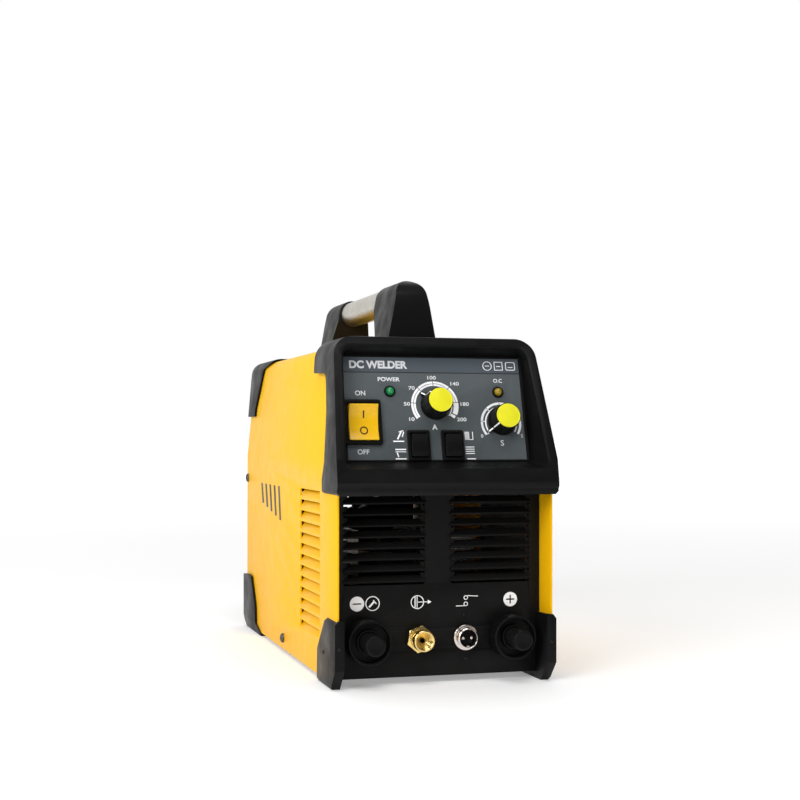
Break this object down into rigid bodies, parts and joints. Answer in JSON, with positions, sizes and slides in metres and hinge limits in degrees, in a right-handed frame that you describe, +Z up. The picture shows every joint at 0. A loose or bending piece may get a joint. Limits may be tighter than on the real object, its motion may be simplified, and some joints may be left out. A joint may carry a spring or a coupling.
{
  "type": "tig welding machine",
  "caption": "Portable inverter TIG welder: folded yellow cover, black hood with switches and dials, louvred front with cable, gas and torch sockets, and a tube handle on top.",
  "frame": {"origin": "centre of the machine's footprint, on the surface it stands on", "axes": "+X to the right seen from the front, +Y from the control face towards the rear, +Z up"},
  "size_m": [0.153, 0.355, 0.2759],
  "materials": {
    "yellow_paint": "satin powder coat",
    "black_plastic": "fine moulded grain",
    "grey_plate": "matte printed face",
    "yellow_plastic": "satin",
    "amber_plastic": "glossy translucent",
    "green_lens": "clear moulded lens",
    "amber_lens": "clear moulded lens",
    "brass": "machined",
    "nickel": "plated",
    "steel": "zinc plated",
    "aluminium": "satin anodised",
    "circuit_board": "solder mask",
    "ferrite": "sintered",
    "copper_winding": "enamelled wire",
    "capacitor_sleeve": "shrink sleeve",
    "blue_hose": "smooth"
  },
  "bodies": {
    "case": {"base_tray": "steel", "bulk_capacitor_1": "capacitor_sleeve", "bulk_capacitor_2": "capacitor_sleeve", "control_board": "circuit_board", "control_plate": "grey_plate", "cover_screw_left": "steel", "cover_screw_right": "steel", "cover_shell": "yellow_paint", "current_potentiometer": "steel", "fan_frame": "black_plastic", "fan_guard": "black_plastic", "front_guard_left": "black_plastic", "front_guard_right": "black_plastic", "front_panel": "black_plastic", "gas_hose_front": "blue_hose", "gas_hose_rear": "blue_hose", "gas_inlet_fitting": "brass", "gas_outlet_fitting": "brass", "gas_valve": "brass", "handle_front_post": "black_plastic", "handle_rear_post": "black_plastic", "handle_tube": "aluminium", "heatsink_left": "aluminium", "heatsink_right": "aluminium", "hood_bezel": "black_plastic", "ignition_coil": "black_plastic", "main_board": "circuit_board", "main_transformer": "ferrite", "mains_gland": "black_plastic", "mode_switch_housing_left": "black_plastic", "mode_switch_housing_right": "black_plastic", "negative_contact": "brass", "negative_socket": "black_plastic", "output_choke": "copper_winding", "overload_led": "amber_lens", "positive_contact": "brass", "positive_socket": "black_plastic", "power_led": "green_lens", "power_switch_housing": "black_plastic", "rear_guard_left": "black_plastic", "rear_guard_right": "black_plastic", "rear_panel": "black_plastic", "rear_top_guard_left": "black_plastic", "rear_top_guard_right": "black_plastic", "slope_potentiometer": "steel", "torch_socket_insert": "black_plastic", "torch_socket_shell": "nickel"},
    "power_rocker": {"power_rocker": "amber_plastic"},
    "mode_rocker_left": {"mode_rocker_left": "black_plastic"},
    "mode_rocker_right": {"mode_rocker_right": "black_plastic"},
    "current_dial": {"current_knob": "black_plastic", "current_knob_cap": "yellow_plastic", "current_shaft": "nickel"},
    "slope_dial": {"slope_knob": "black_plastic", "slope_knob_cap": "yellow_plastic", "slope_shaft": "nickel"},
    "negative_plug": {"negative_dust_plug": "black_plastic"},
    "positive_plug": {"positive_dust_plug": "black_plastic"},
    "fan_rotor": {"fan_rotor": "black_plastic"}
  },
  "joints": [
    {"name": "power_switch", "type": "hinge", "parent": "case", "child": "power_rocker", "pos_m": [-0.051, -0.14457, 0.17335], "axis": [-1, 0, 0], "range_deg": [0, 16]},
    {"name": "mode_switch_left", "type": "hinge", "parent": "case", "child": "mode_rocker_left", "pos_m": [-0.0135, -0.14866, 0.15809], "axis": [-1, 0, 0], "range_deg": [0, 18]},
    {"name": "mode_switch_right", "type": "hinge", "parent": "case", "child": "mode_rocker_right", "pos_m": [0.01, -0.14866, 0.15809], "axis": [-1, 0, 0], "range_deg": [0, 18]},
    {"name": "current_dial_turn", "type": "hinge", "parent": "case", "child": "current_dial", "pos_m": [-0.0001, -0.14144, 0.18504], "axis": [0, -0.9659, 0.2588], "range_deg": [-173, 79]},
    {"name": "slope_dial_turn", "type": "hinge", "parent": "case", "child": "slope_dial", "pos_m": [0.0465, -0.14421, 0.1747], "axis": [0, -0.9659, 0.2588], "range_deg": [-252, 0]},
    {"name": "negative_plug_pull", "type": "slide", "parent": "case", "child": "negative_plug", "axis": [0, -1, 0], "range_m": [0, 0.045]},
    {"name": "positive_plug_pull", "type": "slide", "parent": "case", "child": "positive_plug", "axis": [0, -1, 0], "range_m": [0, 0.045]},
    {"name": "fan_spin", "type": "hinge", "parent": "case", "child": "fan_rotor", "pos_m": [0, 0.1447, 0.14], "axis": [0, 1, 0], "continuous": true}
  ]
}
